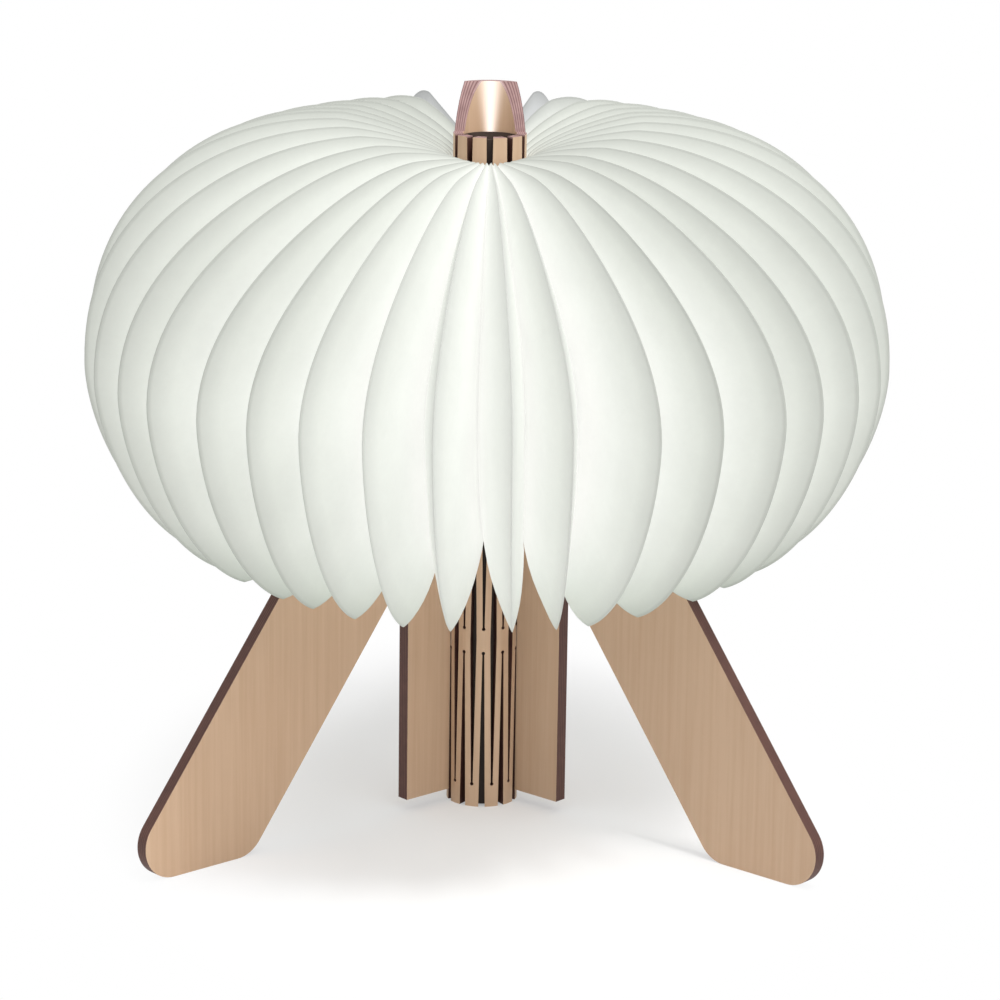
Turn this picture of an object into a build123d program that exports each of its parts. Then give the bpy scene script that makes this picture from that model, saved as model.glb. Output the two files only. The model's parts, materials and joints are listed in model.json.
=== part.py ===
import os
from math import cos, hypot, pi, radians, sin, sqrt, tan

from build123d import *

# Folding table lamp: a slatted plywood spine, two plywood legs that swing round it,
# and a pleated paper shade that opens like a fan.
# Frame: origin on the floor on the spine's axis, +Z up, the front of the lamp faces -Y.
# An azimuth is counted from the front, positive to the right (+X).

# Spine sleeve, a tube of bent plywood
SPINE_RADIUS = 13.0
SPINE_WALL = 3.4
RIM_HEIGHT = 247.0
NOSE_RISE = 17.0
NOSE_SLOPE = 71.5
NOSE_SETBACK = 3.4
NOSE_OVERCUT = 5.0

# Slits of the bending pattern
SLAT_COUNT = 11
SLIT_WIDTH = 2.4
SLIT_END_WIDTH = 0.7
SLIT_DOT = 1.3
SLIT_OVERCUT = 0.5
SLIT_BRIDGE = 9.2
SLIT_END_BRIDGE = 8.7
SLIT_TOP_BRIDGE = 14.0
OPEN_SLIT = 58.8
FRONT_SLIT_COUNT = 2

# Leg panels
PLY = 4.8
LEG_AZIMUTH = 48.5
LEG_SET_BACK = 3.8
STEM_REACH = 33.0
STEM_LIFT = 4.4
LEG_LEAN = 37.6
LEG_OUTER_FOOT = 162.5
LEG_INNER_FOOT = 104.5
FOOT_ROUND = 12.0
PANEL_TOP = 176.0
PANEL_ROUND = 4.0
PANEL_GAP = 0.4

# Knuckles that carry the legs on the spine
RUNNING_GAP = 0.06
AXIAL_GAP = 0.2
KNUCKLE_WALL = 3.0
KNUCKLE_HEIGHT = 9.0
STOP_HEIGHT = 2.4
LOWER_KNUCKLES = 106.0
UPPER_KNUCKLES = 150.0

# Leg magnets
MAGNET_RADIUS = 3.0
MAGNET_DEPTH = 2.0
MAGNET_REACH = 24.5
MAGNET_HEIGHTS = (130.0, 152.0)
SEAT_GAP = 0.05

# Shade profile: crest and valley lines of a pleat, in radius and height from the rim
PLEATS_PER_SIDE = 17
PLEATS_PER_GORE = 3
PLEAT_PITCH = 9.7
PAPER = 0.25
VALLEY_GAP = 0.2
SHADE_START_GAP = 1.3
CREST_START = (19.5, -11.0)
CREST_TOP = (54.4, 5.1)
CREST_EQUATOR = (143.9, -80.8)
CREST_TIP = (99.0, -154.0)
CREST_START_POWER = 2.0
CREST_UPPER_POWER = 2.19
CREST_LOWER_POWER = 1.7
FRONT_DIP = 10.0
FRONT_DIP_AZIMUTH = 101.0
VALLEY_DROP = 14.0
VALLEY_EQUATOR = (95.0, -81.0)
VALLEY_NOTCH = (75.0, -126.0)
VALLEY_POWER = 2.0
VALLEY_LOWER_POWER = 1.5
START_SECTION_COUNT = 4
UPPER_SECTION_COUNT = 8
LOWER_SECTION_COUNT = 8

# Shade ring under the rim
SHADE_RING_WALL = 2.5
SHADE_RING_HEIGHT = 5.5
SHADE_RING_DROP = 11.0

# Light band inside the shade
BAND_LIFT = 2.0
BAND_CLEARANCE = 6.5
BAND_WALL = 0.6
LED_ROWS = 3
LED_COLUMNS = 10
LED_WIDTH = 3.0
LED_HEIGHT = 3.0
LED_DEPTH = 0.9

# Pieces inside the sleeve
INNER_GAP = 0.1
LINER_WALL = 0.4
LINER_DROP = 1.0
PLUG_HEIGHT = 9.8
BOARD_THICKNESS = 1.2
SOCKET_WIDTH = 9.0
SOCKET_HEIGHT = 3.2
SOCKET_LENGTH = 7.4
SOCKET_RECESS = 1.0
SOCKET_WALL = 0.4
SOCKET_BACK = 1.2
SOCKET_FLAT = 0.2
TONGUE_MARGIN = 1.2
TONGUE_THICKNESS = 0.7
SOCKET_GAP = 0.2
CELL_RADIUS = 7.0
CELL_LENGTH = 50.0
CELL_BOTTOM = 24.0
CRADLE_END = 3.0
CRADLE_OPENING = 10.0
CONTROL_BOTTOM = 86.0
CONTROL_LENGTH = 36.0
CONTROL_SET_BACK = 2.0
CHIP_SIZE = (5.0, 1.4, 5.0)
CHIP_PITCH = 9.0
CHIP_COUNT = 3
REED_RADIUS = 1.1
REED_LENGTH = 12.0
UPLIGHT_DEPTH = 11.0
SPACER_HEIGHT = 3.0
SPACER_WALL = 1.5
LENS_HEIGHT = 2.5

# Sizes that follow from those above
SPINE_BORE = SPINE_RADIUS - SPINE_WALL
NOSE_TOP = RIM_HEIGHT + NOSE_RISE
LINER_RADIUS = SPINE_BORE - SEAT_GAP
LINER_BORE = LINER_RADIUS - LINER_WALL
INNER_RADIUS = LINER_BORE - INNER_GAP
KNUCKLE_BORE = SPINE_RADIUS + RUNNING_GAP
KNUCKLE_RADIUS = SPINE_RADIUS + KNUCKLE_WALL
KNUCKLE_STEP = KNUCKLE_HEIGHT + AXIAL_GAP
SHADE_RING_RADIUS = SPINE_RADIUS + SHADE_RING_WALL
VALLEY_START = (SHADE_RING_RADIUS + SHADE_START_GAP, -VALLEY_DROP)
UPLIGHT_BOTTOM = RIM_HEIGHT - UPLIGHT_DEPTH
SHADE_RING_BOTTOM = RIM_HEIGHT - SHADE_RING_DROP - SHADE_RING_HEIGHT
BAND_BOTTOM = PANEL_TOP + BAND_LIFT
BAND_HEIGHT = SHADE_RING_BOTTOM - BAND_CLEARANCE - BAND_BOTTOM
UPPER_STOP = UPPER_KNUCKLES + STOP_HEIGHT + 2 * KNUCKLE_STEP + AXIAL_GAP
STOP_BOTTOMS = {"lower": LOWER_KNUCKLES, "middle": UPPER_KNUCKLES, "upper": UPPER_STOP}
SIDES = {"left": -1, "right": 1}


def ring(outer, inner, bottom, height):
    tube = Cylinder(outer, height) - Cylinder(inner, height)
    return Pos(0, 0, bottom + height / 2) * tube


def disc(radius, bottom, height):
    return Pos(0, 0, bottom + height / 2) * Cylinder(radius, height)


def block(width, depth, height, x, y, bottom):
    return Pos(x, y, bottom + height / 2) * Box(width, depth, height)


# Spine sleeve

def slit(bottom, top, open_bottom=False, open_top=False):
    # A long thin lens in the front wall: widest at its middle, or at an end that is open
    half = SLIT_WIDTH / 2
    end = SLIT_END_WIDTH / 2
    low_half = half if open_bottom else end
    high_half = half if open_top else end
    low = bottom - SLIT_OVERCUT if open_bottom else bottom
    high = top + SLIT_OVERCUT if open_top else top
    right_side = [(low_half, low), (high_half, high)]
    if not open_bottom and not open_top:
        right_side.insert(1, (half, (bottom + top) / 2))
    left_side = [(-x, z) for x, z in reversed(right_side)]
    face = make_face(Polyline(*right_side, *left_side, close=True))
    for z, is_open in ((bottom, open_bottom), (top, open_top)):
        if not is_open:
            face += Pos(0, z) * Circle(SLIT_DOT / 2)
    wall = Plane.XZ.offset(SPINE_BORE - SLIT_OVERCUT)
    return extrude(wall * face, amount=SPINE_WALL + 2 * SLIT_OVERCUT)


def slit_cutters():
    pitch = 360.0 / SLAT_COUNT
    open_top_start = RIM_HEIGHT - OPEN_SLIT
    long_low = OPEN_SLIT + SLIT_BRIDGE
    long_high = open_top_start - SLIT_BRIDGE
    middle = RIM_HEIGHT / 2
    above_window = socket_middle() + SOCKET_HEIGHT / 2 + SLIT_END_BRIDGE
    cutters = []
    for index in range(SLAT_COUNT):
        azimuth = index * pitch
        from_front = min(index, SLAT_COUNT - index)
        column = [slit(long_low, long_high)]
        if abs(azimuth - 180.0) < pitch:
            column.append(slit(above_window, OPEN_SLIT))
        else:
            column.append(slit(0.0, OPEN_SLIT, open_bottom=True))
        if from_front <= FRONT_SLIT_COUNT:
            column.append(slit(open_top_start, RIM_HEIGHT, open_top=True))
        else:
            column.append(slit(open_top_start, RIM_HEIGHT - SLIT_TOP_BRIDGE))
        halfway = azimuth + pitch / 2
        between_low = above_window if abs(halfway - 180.0) < pitch else SLIT_END_BRIDGE
        between = [slit(between_low, middle - SLIT_BRIDGE / 2)]
        between.append(slit(middle + SLIT_BRIDGE / 2, RIM_HEIGHT - SLIT_TOP_BRIDGE))
        cutters += [Rot(0, 0, azimuth) * shape for shape in column]
        cutters += [Rot(0, 0, halfway) * shape for shape in between]
    return cutters


def nose_cutter():
    # Everything above the level front rim and above the slanted cut behind it
    reach = SPINE_RADIUS + NOSE_OVERCUT
    rise = (reach - NOSE_SETBACK) * tan(radians(NOSE_SLOPE))
    points = [(-reach, RIM_HEIGHT), (NOSE_SETBACK, RIM_HEIGHT), (reach, RIM_HEIGHT + rise)]
    points += [(reach, NOSE_TOP + 2 * rise), (-reach, NOSE_TOP + 2 * rise)]
    face = Plane.YZ * make_face(Polyline(*points, close=True))
    return Pos(-reach, 0, 0) * extrude(face, amount=2 * reach)


def socket_middle():
    return PLUG_HEIGHT + BOARD_THICKNESS + SOCKET_HEIGHT / 2


def socket_window():
    width = SOCKET_WIDTH + 2 * SOCKET_GAP
    height = SOCKET_HEIGHT + 2 * SOCKET_GAP
    return Pos(0, SPINE_RADIUS, socket_middle()) * Box(width, SPINE_RADIUS, height)


def make_spine_sleeve():
    tube = ring(SPINE_RADIUS, SPINE_BORE, 0.0, NOSE_TOP)
    return tube - nose_cutter() - socket_window() - slit_cutters()


def make_spine_liner():
    # A dark film behind the slits, open at the back for the inlet
    return ring(LINER_RADIUS, LINER_BORE, 0.0, RIM_HEIGHT - LINER_DROP) - socket_window()


# Leg panels, drawn in their own plane: along the leg from the axis, and up

def panel_frame(side):
    azimuth = radians(LEG_AZIMUTH)
    along = Vector(side * sin(azimuth), -cos(azimuth), 0)
    back = Vector(side * cos(azimuth), sin(azimuth), 0)
    return along, back


def panel_plane(side):
    along, back = panel_frame(side)
    normal = along.cross(Vector(0, 0, 1))
    return Plane(origin=back * LEG_SET_BACK, x_dir=along, z_dir=normal)


def panel_outline():
    slope = tan(radians(LEG_LEAN))
    inner = sqrt((SPINE_RADIUS + PANEL_GAP) ** 2 - LEG_SET_BACK ** 2)
    crotch = (LEG_INNER_FOOT - STEM_REACH) / slope
    shoulder = LEG_OUTER_FOOT - PANEL_TOP * slope
    points = [
        (inner, STEM_LIFT),
        (STEM_REACH, STEM_LIFT),
        (STEM_REACH, crotch),
        (LEG_INNER_FOOT, 0.0),
        (LEG_OUTER_FOOT, 0.0),
        (shoulder, PANEL_TOP),
        (inner, PANEL_TOP),
    ]
    face = make_face(Polyline(*points, close=True))
    feet = [v for v in face.vertices() if v.Y < STEM_LIFT / 2]
    face = fillet(feet, FOOT_ROUND)
    corner = face.vertices().sort_by_distance((STEM_REACH, crotch))[:1]
    return fillet(corner, PANEL_ROUND)


def knuckle_bottoms(side):
    level = 0 if side < 0 else 1
    return [start + STOP_HEIGHT + AXIAL_GAP + level * KNUCKLE_STEP
            for start in (LOWER_KNUCKLES, UPPER_KNUCKLES)]


def magnet_places(side):
    plane = panel_plane(side)
    _, back = panel_frame(side)
    for height in MAGNET_HEIGHTS:
        spot = plane.from_local_coords(Vector(MAGNET_REACH, height, 0))
        yield Plane(origin=spot, x_dir=(0, 0, 1), z_dir=back)


def make_leg_panel(side):
    _, back = panel_frame(side)
    face = panel_plane(side) * panel_outline()
    panel = extrude(face, amount=PLY, dir=back)
    for bottom in knuckle_bottoms(side):
        panel -= disc(KNUCKLE_RADIUS, bottom, KNUCKLE_HEIGHT)
    for bottom in knuckle_bottoms(-side):
        clear = KNUCKLE_RADIUS + PANEL_GAP
        panel -= disc(clear, bottom - AXIAL_GAP, KNUCKLE_HEIGHT + 2 * AXIAL_GAP)
    for bottom in STOP_BOTTOMS.values():
        panel -= disc(KNUCKLE_RADIUS + PANEL_GAP, bottom - AXIAL_GAP, STOP_HEIGHT + 2 * AXIAL_GAP)
    for place in magnet_places(side):
        pocket = Cylinder(MAGNET_RADIUS + SEAT_GAP, 2 * (MAGNET_DEPTH + SEAT_GAP))
        panel -= place * pocket
    return panel


def make_leg_magnets(side):
    up = (Align.CENTER, Align.CENTER, Align.MIN)
    return [place * Cylinder(MAGNET_RADIUS, MAGNET_DEPTH, align=up) for place in magnet_places(side)]


def make_knuckle(bottom):
    return ring(KNUCKLE_RADIUS, KNUCKLE_BORE, bottom, KNUCKLE_HEIGHT)


# Shade

def quarter(start, end, power, steps, first):
    # Quarter of a superellipse that leaves start level and meets end upright
    points = []
    for index in range(first, steps + 1):
        angle = index / steps * pi / 2
        across = sin(angle) ** (2 / power)
        along = cos(angle) ** (2 / power) if index < steps else 0.0
        points.append((start[0] + (end[0] - start[0]) * across, end[1] + (start[1] - end[1]) * along))
    return points


def crest_top(azimuth):
    # The pleats at the front lie lower near the rim than those further round
    share = cos(radians(90.0 * min(azimuth / FRONT_DIP_AZIMUTH, 1.0))) ** 2
    return CREST_TOP[0], CREST_TOP[1] - FRONT_DIP * share


def crest_line(azimuth):
    top = crest_top(azimuth)
    start = quarter(top, CREST_START, CREST_START_POWER, START_SECTION_COUNT, 0)[::-1]
    upper = quarter(top, CREST_EQUATOR, CREST_UPPER_POWER, UPPER_SECTION_COUNT, 1)
    lower = quarter(CREST_TIP, CREST_EQUATOR, CREST_LOWER_POWER, LOWER_SECTION_COUNT, 0)[::-1][1:]
    return start + upper + lower


def valley_line():
    steps = START_SECTION_COUNT + UPPER_SECTION_COUNT
    upper = quarter(VALLEY_START, VALLEY_EQUATOR, VALLEY_POWER, steps, 0)
    lower = quarter(VALLEY_NOTCH, VALLEY_EQUATOR, VALLEY_LOWER_POWER, LOWER_SECTION_COUNT, 0)[::-1][1:]
    return upper + lower


def pleat_section(crest, valley):
    # A thin V in one plane: its outer points, then the same V one sheet further in
    half = radians(PLEAT_PITCH / 2)
    reach = valley[0] * cos(half)
    side = valley[0] * sin(half) - VALLEY_GAP / 2
    depth = hypot(crest[0] - reach, crest[1] - valley[1])
    inward = ((reach - crest[0]) / depth, (valley[1] - crest[1]) / depth)
    sheet = PAPER * hypot(depth, side) / side
    inner_side = side + min(inward[0], 0.0) * sheet * tan(half)
    out = [(side, reach, valley[1]), (0.0, crest[0], crest[1]), (-side, reach, valley[1])]
    shift = (inward[0] * sheet, inward[1] * sheet)
    back = [(-inner_side, reach + shift[0], valley[1] + shift[1])]
    back += [(0.0, crest[0] + shift[0], crest[1] + shift[1])]
    back += [(inner_side, reach + shift[0], valley[1] + shift[1])]
    points = [Vector(x, -r, z) for x, r, z in out + back]
    return Face(Wire.make_polygon(points, close=True))


def make_pleat(azimuth):
    sections = [pleat_section(c, v) for c, v in zip(crest_line(azimuth), valley_line())]
    return Pos(0, 0, RIM_HEIGHT) * loft(sections, ruled=True)


def gore_azimuths():
    # Azimuths of each gore's pleats on one side, from the front to the back
    azimuths = [(index + 0.5) * PLEAT_PITCH for index in range(PLEATS_PER_SIDE)]
    return [azimuths[i:i + PLEATS_PER_GORE] for i in range(0, PLEATS_PER_SIDE, PLEATS_PER_GORE)]


def make_gore(azimuths, side):
    return [Rot(0, 0, side * azimuth) * make_pleat(azimuth) for azimuth in azimuths]


# Light band and the pieces inside the sleeve

def make_led_chips():
    chips = []
    seat = SPINE_RADIUS + SEAT_GAP + BAND_WALL + SEAT_GAP
    for row in range(LED_ROWS):
        height = BAND_BOTTOM + BAND_HEIGHT * (row + 0.5) / LED_ROWS
        for column in range(LED_COLUMNS):
            chip = Pos(0, -seat - LED_DEPTH / 2, height) * Box(LED_WIDTH, LED_DEPTH, LED_HEIGHT)
            chips.append(Rot(0, 0, 360.0 * (column + 0.5) / LED_COLUMNS) * chip)
    return chips


def make_socket():
    face = SPINE_RADIUS - SOCKET_RECESS
    middle = face - SOCKET_LENGTH / 2
    shell = Box(SOCKET_WIDTH, SOCKET_LENGTH, SOCKET_HEIGHT)
    shell = fillet(shell.edges().filter_by(Axis.Y), (SOCKET_HEIGHT - SOCKET_FLAT) / 2)
    depth = SOCKET_LENGTH - SOCKET_BACK
    mouth_height = SOCKET_HEIGHT - 2 * SOCKET_WALL
    mouth = Box(SOCKET_WIDTH - 2 * SOCKET_WALL, depth, mouth_height)
    mouth = fillet(mouth.edges().filter_by(Axis.Y), (mouth_height - SOCKET_FLAT) / 2)
    tongue = Box(SOCKET_WIDTH - 2 * TONGUE_MARGIN, depth, TONGUE_THICKNESS)
    socket = shell - Pos(0, SOCKET_BACK / 2, 0) * mouth + Pos(0, -SOCKET_BACK / 2, 0) * tongue
    return Pos(0, middle, socket_middle()) * socket


def make_cradle():
    outer = INNER_RADIUS
    bottom = CELL_BOTTOM - CRADLE_END
    length = CELL_LENGTH + 2 * CRADLE_END
    cradle = disc(outer, bottom, length)
    cradle -= disc(CELL_RADIUS + INNER_GAP, CELL_BOTTOM - INNER_GAP, CELL_LENGTH + 2 * INNER_GAP)
    cradle -= block(CRADLE_OPENING, 2 * outer, CELL_LENGTH, 0, -outer, CELL_BOTTOM)
    return cradle


def control_width():
    return 2 * sqrt(INNER_RADIUS ** 2 - (CONTROL_SET_BACK + BOARD_THICKNESS) ** 2)


def make_control_chips():
    width, depth, height = CHIP_SIZE
    y = CONTROL_SET_BACK - depth / 2
    first = CONTROL_BOTTOM + CHIP_PITCH / 2
    return [block(width, depth, height, 0, y, first + index * CHIP_PITCH) for index in range(CHIP_COUNT)]


def make_reed_switch():
    y = CONTROL_SET_BACK + BOARD_THICKNESS + REED_RADIUS
    return Pos(0, y, CONTROL_BOTTOM + CONTROL_LENGTH / 2) * Cylinder(REED_RADIUS, REED_LENGTH)


def build():
    band = SPINE_RADIUS + SEAT_GAP
    spacer_bottom = UPLIGHT_BOTTOM + BOARD_THICKNESS
    lens_bottom = spacer_bottom + SPACER_HEIGHT
    nodes = {
        "spine_sleeve": make_spine_sleeve(),
        "spine_liner": make_spine_liner(),
        "base_plug": disc(INNER_RADIUS, 0.0, PLUG_HEIGHT),
        "charge_board": disc(INNER_RADIUS, PLUG_HEIGHT, BOARD_THICKNESS),
        "charge_socket": make_socket(),
        "cell_cradle": make_cradle(),
        "battery_cell": disc(CELL_RADIUS, CELL_BOTTOM, CELL_LENGTH),
        "control_board": block(control_width(), BOARD_THICKNESS, CONTROL_LENGTH, 0,
                               CONTROL_SET_BACK + BOARD_THICKNESS / 2, CONTROL_BOTTOM),
        "control_chips": make_control_chips(),
        "reed_switch": make_reed_switch(),
        "led_band": ring(band + BAND_WALL, band, BAND_BOTTOM, BAND_HEIGHT),
        "led_chips": make_led_chips(),
        "shade_ring": ring(SHADE_RING_RADIUS, band, SHADE_RING_BOTTOM, SHADE_RING_HEIGHT),
        "uplight_board": disc(INNER_RADIUS, UPLIGHT_BOTTOM, BOARD_THICKNESS),
        "uplight_led": block(LED_WIDTH, LED_WIDTH, LED_DEPTH, 0, 0, spacer_bottom),
        "lens_spacer": ring(INNER_RADIUS, INNER_RADIUS - SPACER_WALL, spacer_bottom, SPACER_HEIGHT),
        "uplight_lens": disc(INNER_RADIUS, lens_bottom, LENS_HEIGHT),
    }
    for level, bottom in STOP_BOTTOMS.items():
        nodes[f"{level}_stop_ring"] = ring(KNUCKLE_RADIUS, band, bottom, STOP_HEIGHT)
    for name, side in SIDES.items():
        lower, upper = knuckle_bottoms(side)
        nodes[f"{name}_leg_panel"] = make_leg_panel(side)
        nodes[f"{name}_lower_knuckle"] = make_knuckle(lower)
        nodes[f"{name}_upper_knuckle"] = make_knuckle(upper)
        nodes[f"{name}_leg_magnets"] = make_leg_magnets(side)
        for index, azimuths in enumerate(gore_azimuths(), start=1):
            nodes[f"{name}_shade_gore_{index}"] = make_gore(azimuths, side)
    return nodes


os.makedirs("parts", exist_ok=True)
for node, shape in build().items():
    solid = Compound(children=list(shape)) if isinstance(shape, (list, tuple)) else shape
    export_step(solid, f"parts/{node}.step")
    print(node, round(solid.volume, 1))
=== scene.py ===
import json
import math

import bpy
import numpy as np
from mathutils import Matrix, Vector


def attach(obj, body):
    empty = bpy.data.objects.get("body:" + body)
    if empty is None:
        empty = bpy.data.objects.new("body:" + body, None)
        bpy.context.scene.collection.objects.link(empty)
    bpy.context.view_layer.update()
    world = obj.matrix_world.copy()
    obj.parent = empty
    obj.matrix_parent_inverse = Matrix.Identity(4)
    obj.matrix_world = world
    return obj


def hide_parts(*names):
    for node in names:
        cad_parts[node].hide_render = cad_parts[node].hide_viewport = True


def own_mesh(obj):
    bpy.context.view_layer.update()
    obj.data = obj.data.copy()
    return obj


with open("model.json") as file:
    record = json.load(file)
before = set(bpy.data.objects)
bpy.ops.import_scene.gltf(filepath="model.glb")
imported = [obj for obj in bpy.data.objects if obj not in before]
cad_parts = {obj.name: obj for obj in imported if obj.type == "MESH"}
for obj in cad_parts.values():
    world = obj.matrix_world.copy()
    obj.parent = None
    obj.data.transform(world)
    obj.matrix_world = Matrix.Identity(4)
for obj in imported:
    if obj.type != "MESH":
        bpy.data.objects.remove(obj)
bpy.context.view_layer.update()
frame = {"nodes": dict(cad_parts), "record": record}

mm = 0.001
print("frame loaded:", len(frame["nodes"]), "nodes")


# Small helpers for node trees

def addNode(tree, kind, inputs=None, **settings):
    node = tree.nodes.new(kind)
    for key, value in settings.items():
        setattr(node, key, value)
    for key, value in (inputs or {}).items():
        socket = node.inputs[key]
        if isinstance(value, bpy.types.NodeSocket):
            tree.links.new(value, socket)
        else:
            socket.default_value = value
    return node


def mathNode(tree, operation, *values, clamp=False):
    node = addNode(tree, "ShaderNodeMath", dict(enumerate(values)), operation=operation, use_clamp=clamp)
    return node.outputs[0]


def vectorDot(tree, first, second):
    node = addNode(tree, "ShaderNodeVectorMath", {0: first, 1: second}, operation="DOT_PRODUCT")
    return node.outputs["Value"]


def noise(tree, vector, scale, detail=3.0, roughness=0.55):
    inputs = {"Vector": vector, "Scale": scale, "Detail": detail, "Roughness": roughness}
    return addNode(tree, "ShaderNodeTexNoise", inputs).outputs[0]


def stretched(tree, vector, scale):
    return addNode(tree, "ShaderNodeMapping", {"Vector": vector, "Scale": scale}).outputs[0]


def ramp(tree, factor, stops):
    stops = list(stops)
    node = addNode(tree, "ShaderNodeValToRGB", {"Fac": factor})
    elements = node.color_ramp.elements
    while len(elements) < len(stops):
        elements.new(0.5)
    for element, (place, colour) in zip(elements, stops):
        element.position = place
        element.color = (*colour, 1.0)
    return node.outputs["Color"]


def mapRange(tree, value, source, target=(0.0, 1.0), interpolation="LINEAR"):
    inputs = dict(enumerate((value, *source, *target)))
    return addNode(tree, "ShaderNodeMapRange", inputs, interpolation_type=interpolation).outputs[0]


def mixColour(tree, factor, first, second, mode="MIX"):
    first = first if isinstance(first, bpy.types.NodeSocket) else (*first, 1.0)
    second = second if isinstance(second, bpy.types.NodeSocket) else (*second, 1.0)
    node = addNode(tree, "ShaderNodeMix", data_type="RGBA", blend_type=mode)
    for index, value in ((0, factor), (6, first), (7, second)):
        socket = node.inputs[index]
        if isinstance(value, bpy.types.NodeSocket):
            tree.links.new(value, socket)
        else:
            socket.default_value = value
    return node.outputs[2]


def bump(tree, height, strength, distance):
    inputs = {"Height": height, "Strength": strength, "Distance": distance}
    return addNode(tree, "ShaderNodeBump", inputs).outputs[0]


def newMaterial(name):
    material = bpy.data.materials.new(name)
    material.use_nodes = True
    tree = material.node_tree
    return material, tree, tree.nodes["Principled BSDF"]


def fromSrgb(red, green, blue):
    # sRGB steps of 0 to 255 turned into linear light
    values = np.array([red, green, blue]) / 255.0
    low = values / 12.92
    high = ((values + 0.055) / 1.055) ** 2.4
    return tuple(float(v) for v in np.where(values <= 0.04045, low, high))


# Maple plywood: pale veneer with faint fibres, and dark laser-cut edges with layer lines

plyLook = {
    "veneer": fromSrgb(208, 178, 150),
    "veneerDark": fromSrgb(197, 165, 136),
    "burnt": fromSrgb(62, 38, 34),
    "burntPale": fromSrgb(104, 70, 60),
    "layers": 5,
    "fibreScale": (520.0, 520.0, 14.0),
    "fibreShare": 0.55,
    "cloudScale": (16.0, 16.0, 5.0),
    "cloudShare": 0.45,
    "veneerStops": (0.36, 0.62),
    "sootScale": 260.0,
    "sootLeast": 0.3,
    "roughness": 0.55,
    "specular": 0.3,
    "relief": 0.12,
    "reliefDepth": 0.4 * mm,
}
legPanel = {
    "azimuth": 48.5,
    "setBack": 3.8 * mm,
    "ply": 4.8 * mm,
    # Painted shade: the right panel's veneer is a darker, shaded copy of the left one
    "tones": {-1: 1.0, 1: 0.87},
    "faceLimit": 0.7,
}
sleeve = {
    "wall": 3.4 * mm,
    "innerRadius": 9.6 * mm,
    "innerMargin": 0.2 * mm,
    "faceLimit": 0.93,
    # Painted light on the cut edges of the nose, over their layer lines
    "litCutDark": fromSrgb(112, 80, 80),
    "litCutPale": fromSrgb(190, 156, 153),
    "cutBottom": 246.5 * mm,
    # Painted highlight: a glowing streak up the inner wall of the nose
    "streakWidths": (1.5 * mm, 3.6 * mm),
    "streakBottom": 244.0 * mm,
    "streakTop": 264.0 * mm,
    "paintedStreakColour": (1.0, 0.97, 0.96),
    "streak": 0.8,
}


def veneerColour(tree, coords):
    look = plyLook
    fibre = noise(tree, stretched(tree, coords, look["fibreScale"]), 1.0, detail=4.0, roughness=0.6)
    cloud = noise(tree, stretched(tree, coords, look["cloudScale"]), 1.0, detail=3.0, roughness=0.5)
    clouds = mathNode(tree, "MULTIPLY", cloud, look["cloudShare"])
    blend = mathNode(tree, "MULTIPLY_ADD", fibre, look["fibreShare"], clouds)
    return ramp(tree, blend, zip(look["veneerStops"], (look["veneerDark"], look["veneer"]))), fibre


def burntColour(tree, coords, depth, thickness, dark=plyLook["burnt"], pale=plyLook["burntPale"]):
    # depth runs across the sheet in metres; each layer is half a turn of the sine
    turn = mathNode(tree, "MULTIPLY", depth, math.pi * plyLook["layers"] / thickness)
    stripe = mathNode(tree, "ABSOLUTE", mathNode(tree, "SINE", turn))
    soot = mathNode(tree, "ADD", noise(tree, coords, plyLook["sootScale"]), plyLook["sootLeast"])
    return mixColour(tree, mathNode(tree, "MULTIPLY", stripe, soot, clamp=True), dark, pale)


def finishWood(tree, shader, face, edge, edgeFactor, fibre):
    tree.links.new(mixColour(tree, edgeFactor, face, edge), shader.inputs["Base Color"])
    shader.inputs["Roughness"].default_value = plyLook["roughness"]
    shader.inputs["Specular IOR Level"].default_value = plyLook["specular"]
    relief = bump(tree, fibre, plyLook["relief"], plyLook["reliefDepth"])
    tree.links.new(relief, shader.inputs["Normal"])


def panelPly(side):
    # The panel's own normal tells a cut edge from a face
    azimuth = math.radians(legPanel["azimuth"])
    back = (side * math.cos(azimuth), math.sin(azimuth), 0.0)
    material, tree, shader = newMaterial("maplePanelRightShaded" if side > 0 else "maplePanelLeft")
    coords = addNode(tree, "ShaderNodeTexCoord")
    place, normal = coords.outputs["Object"], coords.outputs["Normal"]
    across = mathNode(tree, "SUBTRACT", vectorDot(tree, place, back), legPanel["setBack"])
    facing = mathNode(tree, "ABSOLUTE", vectorDot(tree, normal, back))
    edgeFactor = mathNode(tree, "LESS_THAN", facing, legPanel["faceLimit"])
    face, fibre = veneerColour(tree, place)
    # Painted shade: the veneer is multiplied darker on the right panel
    face = mixColour(tree, 1.0, face, (legPanel["tones"][side],) * 3, "MULTIPLY")
    edge = burntColour(tree, place, across, legPanel["ply"])
    finishWood(tree, shader, face, edge, edgeFactor, fibre)
    return material


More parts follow.
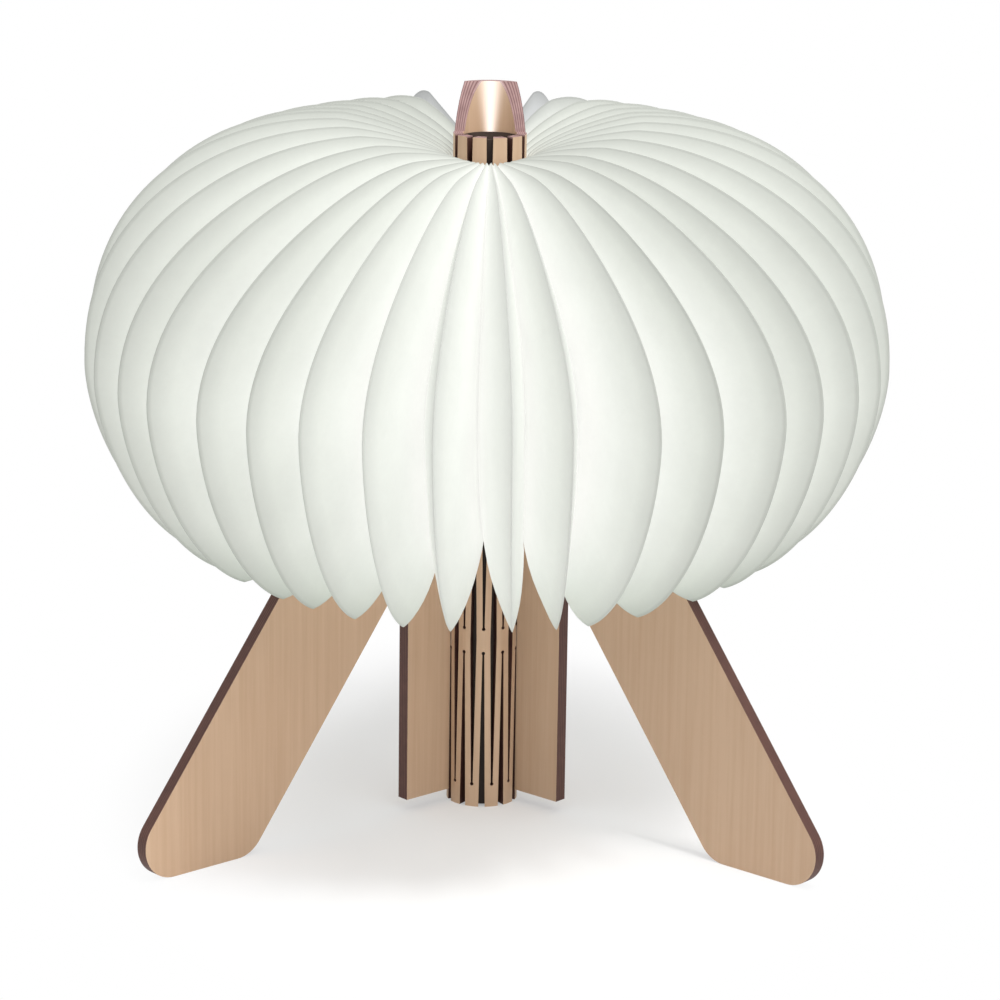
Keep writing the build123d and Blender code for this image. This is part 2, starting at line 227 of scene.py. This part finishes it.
def sleevePly():
    # Outer and inner skins face along the radius; slit walls and rims don't
    material, tree, shader = newMaterial("mapleSleeve")
    coords = addNode(tree, "ShaderNodeTexCoord")
    place, normal = coords.outputs["Object"], coords.outputs["Normal"]
    parts = addNode(tree, "ShaderNodeSeparateXYZ", {0: place})
    flat = addNode(tree, "ShaderNodeVectorMath", {0: place, 1: (1, 1, 0)}, operation="MULTIPLY").outputs[0]
    outward = addNode(tree, "ShaderNodeVectorMath", {0: flat}, operation="NORMALIZE").outputs[0]
    radius = addNode(tree, "ShaderNodeVectorMath", {0: flat}, operation="LENGTH").outputs["Value"]
    facing = mathNode(tree, "ABSOLUTE", vectorDot(tree, normal, outward))
    edgeFactor = mathNode(tree, "LESS_THAN", facing, sleeve["faceLimit"])
    face, fibre = veneerColour(tree, place)
    edge = burntColour(tree, place, radius, sleeve["wall"])
    # Above the rim the cut edges are paler: painted light on the laser-cut edges of the nose, over their
    # layer lines
    cut = burntColour(tree, place, radius, sleeve["wall"], sleeve["litCutDark"], sleeve["litCutPale"])
    upper = mathNode(tree, "GREATER_THAN", parts.outputs[2], sleeve["cutBottom"])
    edge = mixColour(tree, upper, edge, cut)
    finishWood(tree, shader, face, edge, edgeFactor, fibre)
    # Painted highlight: a bright streak of painted light up the nose's inner wall, wider towards the top,
    # for the small light below
    low, high = sleeve["streakBottom"], sleeve["streakTop"]
    narrow, wide = sleeve["streakWidths"]
    width = mapRange(tree, parts.outputs[2], (low, high), (narrow, wide))
    offset = mathNode(tree, "DIVIDE", parts.outputs[0], width)
    fading = mathNode(tree, "MULTIPLY", mathNode(tree, "MULTIPLY", offset, offset), -1.0)
    bright = mathNode(tree, "EXPONENT", fading)
    inside = mathNode(tree, "LESS_THAN", radius, sleeve["innerRadius"] + sleeve["innerMargin"])
    above = mathNode(tree, "GREATER_THAN", parts.outputs[2], low)
    behind = mathNode(tree, "GREATER_THAN", parts.outputs[1], 0.0)
    where = mathNode(tree, "MULTIPLY", mathNode(tree, "MULTIPLY", inside, above), behind)
    shader.inputs["Emission Color"].default_value = (*sleeve["paintedStreakColour"], 1.0)
    strength = mathNode(tree, "MULTIPLY", mathNode(tree, "MULTIPLY", bright, where), sleeve["streak"])
    tree.links.new(strength, shader.inputs["Emission Strength"])
    return material


# Plainer finishes of the inner pieces: a fine grain, a brushed run or a speckle between two near tones

plainLook = {
    "grainScale": 1800.0,
    "grainTone": 0.82,
    "grainRelief": 0.15,
    "grainDepth": 0.2 * mm,
    "brushScale": (900.0, 900.0, 60.0),
    "brushTone": 0.85,
    "speckleScale": 900.0,
    "speckleTone": 0.9,
    "speckleRoughness": 0.4,
    "detail": 2.0,
}


def twoTone(tree, factor, colour, tone):
    return mixColour(tree, factor, tuple(tone * c for c in colour), colour)


def mouldedPlastic(name, colour, roughness):
    material, tree, shader = newMaterial(name)
    coords = addNode(tree, "ShaderNodeTexCoord").outputs["Object"]
    grain = noise(tree, coords, plainLook["grainScale"], plainLook["detail"])
    tree.links.new(twoTone(tree, grain, colour, plainLook["grainTone"]), shader.inputs["Base Color"])
    relief = bump(tree, grain, plainLook["grainRelief"], plainLook["grainDepth"])
    tree.links.new(relief, shader.inputs["Normal"])
    shader.inputs["Roughness"].default_value = roughness
    return material


def platedMetal(name, colour, roughness):
    material, tree, shader = newMaterial(name)
    coords = addNode(tree, "ShaderNodeTexCoord").outputs["Object"]
    brushed = noise(tree, stretched(tree, coords, plainLook["brushScale"]), 1.0, plainLook["detail"])
    tree.links.new(twoTone(tree, brushed, colour, plainLook["brushTone"]), shader.inputs["Base Color"])
    shader.inputs["Metallic"].default_value = 1.0
    shader.inputs["Roughness"].default_value = roughness
    return material


def glowingPlastic(name, colour, strength):
    material, tree, shader = newMaterial(name)
    coords = addNode(tree, "ShaderNodeTexCoord").outputs["Object"]
    speckle = noise(tree, coords, plainLook["speckleScale"], plainLook["detail"])
    tint = twoTone(tree, speckle, colour, plainLook["speckleTone"])
    tree.links.new(tint, shader.inputs["Base Color"])
    tree.links.new(tint, shader.inputs["Emission Color"])
    shader.inputs["Emission Strength"].default_value = strength
    shader.inputs["Roughness"].default_value = plainLook["speckleRoughness"]
    return material


# Spun paper of the shade, with a fine fibre mottle. Painted shade: bright in the folds, greyer towards the
# crests.
# The light of the lamp inside is painted onto the paper as a weak glow in the same colours.

paperLook = {
    # Painted shade from the folds to the crests, then the tips, and the painted shade of the leaves at the
    # back
    "fold": fromSrgb(254, 254, 251),
    "middle": fromSrgb(247, 249, 244),
    "shaded": fromSrgb(230, 233, 226),
    "crest": fromSrgb(208, 211, 204),
    "crestEdgeShade": fromSrgb(192, 195, 188),
    "tip": fromSrgb(226, 232, 227),
    # Painted shade of the leaves at the back, a bluer grey
    "away": fromSrgb(223, 222, 229),
    "stops": (0.3, 0.55, 0.82, 0.97, 0.99),
    "tipFrom": 0.8,
    "backShadeAzimuths": (152.0, 162.0),
    "frontAzimuth": 32.0,
    "frontPale": 0.45,
    "glow": 0.54,
    "reflect": 0.45,
    "mottle": 0.07,
    "fibreScale": 420.0,
    "fibreShare": 0.4,
    "cloudScale": 55.0,
    "cloudShare": 0.6,
    "roughness": 0.75,
    "specular": 0.15,
    "relief": 0.1,
    "reliefDepth": 0.4 * mm,
}


def shadePaper():
    look = paperLook
    material, tree, shader = newMaterial("spunPaper")
    coords = addNode(tree, "ShaderNodeTexCoord").outputs["Object"]
    crest = addNode(tree, "ShaderNodeAttribute", attribute_name="crest").outputs["Fac"]
    tones = [look[key] for key in ("fold", "middle", "shaded", "crest", "crestEdgeShade")]
    tint = ramp(tree, crest, zip(look["stops"], tones))
    # Towards the tips the crests are a little greener and darker. Painted light and shade: the front
    # leaves are paler, and the leaves at the back are shaded a bluer grey
    along = addNode(tree, "ShaderNodeAttribute", attribute_name="along").outputs["Fac"]
    lowest = mathNode(tree, "MULTIPLY", mapRange(tree, along, (look["tipFrom"], 1.0)), crest)
    tint = mixColour(tree, lowest, tint, look["tip"], "MULTIPLY")
    azimuth = addNode(tree, "ShaderNodeAttribute", attribute_name="azimuth").outputs["Fac"]
    frontLessShade = mapRange(tree, azimuth, (0.0, look["frontAzimuth"]), (look["frontPale"], 0.0))
    tint = mixColour(tree, frontLessShade, tint, look["middle"])
    paintedBackShade = mapRange(tree, azimuth, look["backShadeAzimuths"])
    tint = mixColour(tree, paintedBackShade, tint, look["away"], "MULTIPLY")
    fibres = noise(tree, coords, look["fibreScale"], detail=6.0, roughness=0.7)
    clouds = noise(tree, coords, look["cloudScale"], detail=4.0, roughness=0.6)
    clouds = mathNode(tree, "MULTIPLY", clouds, look["cloudShare"])
    mottle = mathNode(tree, "MULTIPLY_ADD", fibres, look["fibreShare"], clouds)
    level = mathNode(tree, "MULTIPLY_ADD", mottle, 2.0 * look["mottle"], 1.0 - look["mottle"])
    grey = addNode(tree, "ShaderNodeCombineColor", {0: level, 1: level, 2: level}).outputs[0]
    colour = mixColour(tree, 1.0, tint, grey, "MULTIPLY")
    dimmed = mixColour(tree, 1.0, colour, (look["reflect"],) * 3, "MULTIPLY")
    tree.links.new(dimmed, shader.inputs["Base Color"])
    # Painted light: the paper glows in its own painted colours
    tree.links.new(colour, shader.inputs["Emission Color"])
    shader.inputs["Emission Strength"].default_value = look["glow"]
    shader.inputs["Roughness"].default_value = look["roughness"]
    shader.inputs["Specular IOR Level"].default_value = look["specular"]
    relief = bump(tree, fibres, look["relief"], look["reliefDepth"])
    tree.links.new(relief, shader.inputs["Normal"])
    return material


# Pleated shade: each side has its gores from the front to the back, in millimetres and degrees

shade = {
    "pleatsPerSide": 17,
    "pleatsPerGore": 3,
    "pitch": 9.7,
    # Points of the two profiles, as radius and height
    "crestStart": (14.8, 238.5),
    "crestTop": (54.4, 252.1),
    "crestEquator": (143.5, 166.2),
    "crestTip": (99.0, 93.0),
    "tipLift": 8.0,
    "crestPowers": (2.19, 1.7),
    "valleyStart": (14.4, 236.6),
    "valleyEquator": (95.0, 166.0),
    "valleyNotch": (75.0, 121.0),
    "valleyPowers": (2.0, 1.5),
    "startPower": 1.35,
    "startShare": 0.2,
    "upperShare": 0.6,
    "rows": 84,
    "columns": 11,
    "crestPower": 0.9,
    "bow": 1.9,
    "bowDepth": 45.0,
    "tipRound": 0.045,
    "tipPower": 7,
    "wrinkle": 0.22,
    "wrinkleTurns": (19.0, 7.0),
    "wrinklePhases": (1.7, 0.6),
    "paper": 0.25,
    "foldKeep": 0.1,
    "frontDip": 13.5,
    "frontDipAzimuth": 101.0,
    "gather": 0.37,
    "gatherCollar": 0.06,
    "gatherPower": 1.6,
    "gatherEnd": 100.0,
    "peak": (88.0, 249.5),
    "peakPower": 0.92,
    "peakFrom": 157.5,
    "peakOver": 3.0,
    # Degrees off the even pitch: of whole pleats from the front, of their tips, and of the last pleats
    "driftLeft": (-2.0, -1.5, -0.7, 1.0, 2.0, 1.0, 2.4, 1.6, 0.8),
    "driftRight": (-1.5, -3.3, -1.0, -1.3, 0.0, -1.6, -1.2, -0.8, -0.4),
    "tipDriftLeft": (1.0, 1.5, 0.6, -0.8, 0.9),
    "tipDriftRight": (2.4, 2.8, -4.6, -3.6, -0.8, 0.8),
    "backLeft": (0.0, -0.6, -1.2, -2.2, -5.5),
    "backRight": (1.0, 2.5, 4.0, 6.0, 11.0),
    "backFade": 1.3,
}


def quarterArc(share, start, end, power):
    # Quarter of a superellipse: level at start, upright at end, share runs from 0 to 1
    angle = np.clip(share, 0.0, 1.0) * math.pi / 2
    across = np.sin(angle) ** (2.0 / power)
    along = np.clip(np.cos(angle), 0.0, 1.0) ** (2.0 / power)
    radius = start[0] + (end[0] - start[0]) * across
    height = end[1] + (start[1] - end[1]) * along
    return np.stack([radius, height], -1)


def crestLine(s, azimuth):
    # The pleats at the front lie lower near the rim, and those at the sides end higher.
    # The last leaf at the back rises straight to a peak.
    first, second = shade["startShare"], shade["upperShare"]
    degrees = np.degrees(np.abs(azimuth))
    lean = np.minimum(degrees / shade["frontDipAzimuth"], 1.0) * math.pi / 2
    last = np.clip((degrees - shade["peakFrom"]) / shade["peakOver"], 0.0, 1.0)
    radius = shade["crestTop"][0] + last * (shade["peak"][0] - shade["crestTop"][0])
    height = shade["crestTop"][1] + last * (shade["peak"][1] - shade["crestTop"][1])
    top = (radius, height - shade["frontDip"] * np.cos(lean) ** 2)
    power = shade["startPower"] + last * (shade["peakPower"] - shade["startPower"])
    start = quarterArc(1.0 - s / first, top, shade["crestStart"], power)
    upperPower, lowerPower = shade["crestPowers"]
    upper = quarterArc((s - first) / (second - first), top, shade["crestEquator"], upperPower)
    tip = (shade["crestTip"][0], shade["crestTip"][1] + shade["tipLift"] * np.sin(azimuth) ** 2)
    lower = quarterArc((1.0 - s) / (1.0 - second), tip, shade["crestEquator"], lowerPower)
    s = s[..., None]
    return np.where(s < first, start, np.where(s < second, upper, lower))


def gathered(azimuth, s):
    # Above the equator the folds draw together at the front, by a power of the cosine of their rise
    first, second = shade["startShare"], shade["upperShare"]
    rise = np.clip((s - first) / (second - first), 0.0, 1.0) * math.pi / 2
    inside = shade["gather"] * np.clip(np.cos(rise), 0.0, 1.0) ** shade["gatherPower"]
    inside = inside + shade["gatherCollar"] * np.clip(1.0 - s / first, 0.0, 1.0)
    fade = 1.0 - (azimuth / math.radians(shade["gatherEnd"])) ** 2
    return azimuth * (1.0 - np.clip(fade, 0.0, 1.0) * inside)


def valleyLine(s):
    # The valleys run from the collar out to their equator, then back in to the notch below
    second, equator = shade["upperShare"], shade["valleyEquator"]
    upperPower, lowerPower = shade["valleyPowers"]
    upper = quarterArc(s / second, shade["valleyStart"], equator, upperPower)
    lower = quarterArc((1.0 - s) / (1.0 - second), shade["valleyNotch"], equator, lowerPower)
    return np.where(s[..., None] < second, upper, lower)


def around(line, azimuth):
    # A radius and height turned to an azimuth, in millimetres
    return np.stack([line[..., 0] * np.sin(azimuth), -line[..., 0] * np.cos(azimuth), line[..., 1]], -1)


def spread(values, back=()):
    # Angles of the first and last pleats, with zeros between them to fill a side
    between = shade["pleatsPerSide"] - len(values) - len(back)
    return np.array([*values, *[0.0] * between, *back])


def pleatAzimuths(left, right):
    # Crest azimuths with the small drift that hand folding leaves, and valleys half-way between them
    even = (np.arange(shade["pleatsPerSide"]) + 0.5) * shade["pitch"]
    crests = {-1: -even + left, 1: even + right}
    front = (crests[-1][0] + crests[1][0]) / 2.0
    rows = {}
    for side, crest in crests.items():
        inner = (crest[1:] + crest[:-1]) / 2.0
        last = crest[-1] + side * shade["pitch"] / 2.0
        rows[side] = np.radians(crest), np.radians(np.concatenate([[front], inner, [last]]))
    return rows


def goreSurface(side, first, count):
    # Rows run from the collar to the tip; columns run valley, crest, valley over each pleat.
    # A point is a mix of the valley and crest lines, whose share is a power of the sine across the pleat.
    # It is bowed sideways most where the share is a half, with a wrinkle that is a product of two sines.
    driftLeft, driftRight = spread(shade["driftLeft"]), spread(shade["driftRight"])
    tipLeft, tipRight = spread(shade["tipDriftLeft"]), spread(shade["tipDriftRight"])
    backLeft, backRight = spread((), shade["backLeft"]), spread((), shade["backRight"])
    crests, valleys = pleatAzimuths(driftLeft, driftRight)[side]
    tipCrests, tipValleys = pleatAzimuths(driftLeft + tipLeft, driftRight + tipRight)[side]
    topCrests, topValleys = pleatAzimuths(driftLeft + backLeft, driftRight + backRight)[side]
    half = shade["columns"] - 1
    column = np.arange(2 * half * count + 1)
    pleat = np.minimum(column // (2 * half), count - 1)
    place = (column - pleat * 2 * half) / half - 1.0
    crest = np.sin((1.0 - np.abs(place)) * math.pi / 2) ** shade["crestPower"]
    hand = np.sign(place)
    tipCut = 1.0 - shade["tipRound"] * crest[None, :] ** shade["tipPower"]
    s = np.linspace(0.0, 1.0, shade["rows"])[:, None] * tipCut
    index = first + pleat
    low = np.clip((s - shade["upperShare"]) / (1.0 - shade["upperShare"]), 0.0, 1.0) ** 2
    turn = np.where(place < 0, index, index + 1)
    top = np.clip(1.0 - s / shade["backFade"], 0.0, 1.0)
    crestAngle = crests[index] + low * (tipCrests - crests)[index] + top * (topCrests - crests)[index]
    valleyAngle = valleys[turn] + low * (tipValleys - valleys)[turn] + top * (topValleys - valleys)[turn]
    crestPoint = around(crestLine(s, crestAngle), gathered(crestAngle, s))
    valleyPoint = around(valleyLine(s), gathered(valleyAngle, s))
    share = crest[None, :, None]
    points = valleyPoint * (1.0 - share) + crestPoint * share
    sideways = np.stack([np.cos(crests[index]), np.sin(crests[index]), np.zeros(len(index))], -1)
    depth = np.linalg.norm(crestPoint - valleyPoint, axis=-1, keepdims=True)
    swell = shade["bow"] * np.minimum(depth / shade["bowDepth"], 1.0) * (4.0 * share * (1.0 - share))
    quick, slow = shade["wrinkleTurns"]
    perPleat, perSide = shade["wrinklePhases"]
    phase = perPleat * index[None, :] + perSide * side
    ripple = np.sin(quick * s + phase) * np.sin(slow * s * (1.0 + crest) + 2.0 * phase)
    swell = swell + (shade["wrinkle"] * ripple * crest * (1.0 - crest) * 4.0)[..., None]
    points = points + sideways[None] * (hand * side)[None, :, None] * swell
    azimuth = np.degrees(np.abs(valleyAngle * (1.0 - crest) + crestAngle * crest))
    attributes = {"crest": np.broadcast_to(crest[None, :], s.shape), "along": s, "azimuth": azimuth}
    return points * mm, attributes


def gridMesh(name, points, attributes):
    rows, columns = points.shape[:2]
    corner = (np.arange(rows - 1)[:, None] * columns + np.arange(columns - 1)[None, :]).ravel()
    faces = np.stack([corner, corner + 1, corner + columns + 1, corner + columns], -1)
    mesh = bpy.data.meshes.new(name)
    mesh.from_pydata(points.reshape(-1, 3).tolist(), [], faces.tolist())
    for key, values in attributes.items():
        layer = mesh.attributes.new(key, "FLOAT", "POINT")
        layer.data.foreach_set("value", np.ascontiguousarray(values, dtype=np.float32).ravel())
    mesh.polygons.foreach_set("use_smooth", np.ones(len(mesh.polygons), dtype=bool))
    mesh.update()
    piece = bpy.data.objects.new(name, mesh)
    bpy.context.scene.collection.objects.link(piece)
    return piece


def buildShade(paper):
    perGore, total = shade["pleatsPerGore"], shade["pleatsPerSide"]
    for side, word in ((-1, "left"), (1, "right")):
        for number, first in enumerate(range(0, total, perGore), start=1):
            count = min(perGore, total - first)
            points, attributes = goreSurface(side, first, count)
            if side > 0:
                points = points[:, ::-1]
                attributes = {key: values[:, ::-1] for key, values in attributes.items()}
            piece = gridMesh(f"{word}Gore{number}", points, attributes)
            piece.data.materials.append(paper)
            sheet = piece.modifiers.new("paper", "SOLIDIFY")
            sheet.thickness = shade["paper"] * mm
            sheet.offset = 0.0
            node = f"{word}_shade_gore_{number}"
            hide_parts(node)
            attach(piece, node)
            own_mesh(piece)
    print("shade built:", 2 * total, "pleats")


# Finishes of the CAD nodes, by material slot

def dressNodes():
    finishes = {
        "magnet": platedMetal("platedMagnet", (0.72, 0.72, 0.74), 0.25),
        "steel": platedMetal("stampedSteel", (0.66, 0.66, 0.68), 0.3),
        "black_plastic": mouldedPlastic("blackMoulding", (0.025, 0.023, 0.022), 0.5),
        "white_plastic": mouldedPlastic("bandFilm", (0.8, 0.8, 0.78), 0.45),
        "circuit_board": mouldedPlastic("boardLacquer", (0.012, 0.03, 0.02), 0.45),
        "cell_wrap": mouldedPlastic("cellSleeve", (0.03, 0.025, 0.025), 0.4),
        "led": glowingPlastic("lightChip", (1.0, 0.86, 0.55), 2.0),
        "lens": glowingPlastic("frostedLens", (0.6, 0.55, 0.5), 0.1),
        "reed_glass": mouldedPlastic("reedGlass", (0.4, 0.5, 0.45), 0.1),
        "maple_ply": sleevePly(),
    }
    slots = {row["node"]: row["material_slot"] for row in frame["record"]["subparts"]}
    special = {
        "left_leg_panel": panelPly(-1),
        "right_leg_panel": panelPly(1),
        "spine_liner": mouldedPlastic("linerFilm", (0.05, 0.03, 0.022), 0.6),
    }
    for name, piece in frame["nodes"].items():
        slotName = slots[name]
        if slotName == "shade_paper":
            continue
        piece.data.materials.clear()
        piece.data.materials.append(special.get(name, finishes.get(slotName)))
    print("nodes dressed:", len(slots))


# Floor, light and camera

studio = {
    "floorSize": 14.0,
    "floorColour": (0.9, 0.9, 0.9),
    "floorRoughness": 0.9,
    "floorGlow": 0.3,
    "floorFade": (0.08, 0.22),
    "floorStretch": (1.5, 1.0, 1.0),
    "worldLight": 0.62,
    "lampAim": (0.0, 0.0, 0.12),
    "lamps": {
        "keyRight": {"place": (1.1, -1.6, 1.9), "size": 2.4, "power": 19.0},
        "fillLeft": {"place": (-1.5, -1.2, 1.4), "size": 1.6, "power": 3.0},
        "topSoft": {"place": (0.55, -0.6, 2.1), "size": 0.5, "power": 23.0},
    },
}


def cameraSeen(tree):
    # One for rays that show the backdrop, nought for those that light the object
    rays = addNode(tree, "ShaderNodeLightPath")
    seen = mathNode(tree, "ADD", rays.outputs["Is Camera Ray"], rays.outputs["Is Glossy Ray"])
    return mathNode(tree, "ADD", seen, rays.outputs["Is Transmission Ray"], clamp=True)


def buildStudio():
    half = studio["floorSize"] / 2.0
    mesh = bpy.data.meshes.new("floor")
    corners = [(-half, -half, 0), (half, -half, 0), (half, half, 0), (-half, half, 0)]
    mesh.from_pydata(corners, [], [(0, 1, 2, 3)])
    floor = bpy.data.objects.new("floor", mesh)
    bpy.context.scene.collection.objects.link(floor)
    material, tree, shader = newMaterial("paleFloor")
    shader.inputs["Base Color"].default_value = (*studio["floorColour"], 1.0)
    shader.inputs["Roughness"].default_value = studio["floorRoughness"]
    shader.inputs["Specular IOR Level"].default_value = 0.0
    glow = addNode(tree, "ShaderNodeEmission", {"Color": (1, 1, 1, 1), "Strength": 1.0}).outputs[0]
    # The floor turns white away from the object, sooner to the sides
    coords = addNode(tree, "ShaderNodeTexCoord").outputs["Object"]
    oval = stretched(tree, coords, studio["floorStretch"])
    reach = addNode(tree, "ShaderNodeVectorMath", {0: oval}, operation="LENGTH").outputs["Value"]
    white = mapRange(tree, reach, studio["floorFade"], (studio["floorGlow"], 1.0), "SMOOTHSTEP")
    factor = mathNode(tree, "MULTIPLY", cameraSeen(tree), white)
    mixed = addNode(tree, "ShaderNodeMixShader", {0: factor, 1: shader.outputs[0], 2: glow}).outputs[0]
    tree.links.new(mixed, tree.nodes["Material Output"].inputs["Surface"])
    mesh.materials.append(material)
    world = bpy.data.worlds.new("studio")
    world.use_nodes = True
    background = world.node_tree.nodes["Background"]
    background.inputs["Color"].default_value = (1, 1, 1, 1)
    seen = cameraSeen(world.node_tree)
    strength = mapRange(world.node_tree, seen, (0.0, 1.0), (studio["worldLight"], 1.0))
    world.node_tree.links.new(strength, background.inputs["Strength"])
    bpy.context.scene.world = world
    for name, lamp in studio["lamps"].items():
        light = bpy.data.lights.new(name, "AREA")
        light.shape = "DISK"
        light.size = lamp["size"]
        light.energy = lamp["power"]
        holder = bpy.data.objects.new(name, light)
        holder.location = lamp["place"]
        aim = Vector(studio["lampAim"]) - Vector(lamp["place"])
        holder.rotation_euler = aim.to_track_quat("-Z", "Y").to_euler()
        bpy.context.scene.collection.objects.link(holder)
    print("studio lit by", len(studio["lamps"]), "lamps")


view = {
    "distance": 1.219,
    "height": 0.4286,
    "focalPixels": 3471.0,
    "framePixels": 1000.0,
    "yaw": 0.25,
    "pitch": 14.51,
    "roll": 0.8,
    "sensor": 36.0,
}


def buildCamera():
    yaw, pitch, roll = (math.radians(view[key]) for key in ("yaw", "pitch", "roll"))
    ahead = math.cos(pitch)
    forward = Vector((math.sin(yaw) * ahead, math.cos(yaw) * ahead, -math.sin(pitch)))
    level = Vector((math.cos(yaw), -math.sin(yaw), 0.0))
    upward = level.cross(forward)
    right = level * math.cos(roll) + upward * math.sin(roll)
    upward = upward * math.cos(roll) - level * math.sin(roll)
    data = bpy.data.cameras.new("camera")
    data.sensor_width = view["sensor"]
    data.lens = view["sensor"] * view["focalPixels"] / view["framePixels"]
    camera = bpy.data.objects.new("camera", data)
    turn = Matrix((right, upward, -forward)).transposed().to_4x4()
    camera.matrix_world = Matrix.Translation((0.0, -view["distance"], view["height"])) @ turn
    bpy.context.scene.collection.objects.link(camera)
    bpy.context.scene.camera = camera
    print("camera set")


bpy.context.scene.view_settings.view_transform = "Standard"
buildCamera()
buildStudio()
buildShade(shadePaper())
dressNodes()
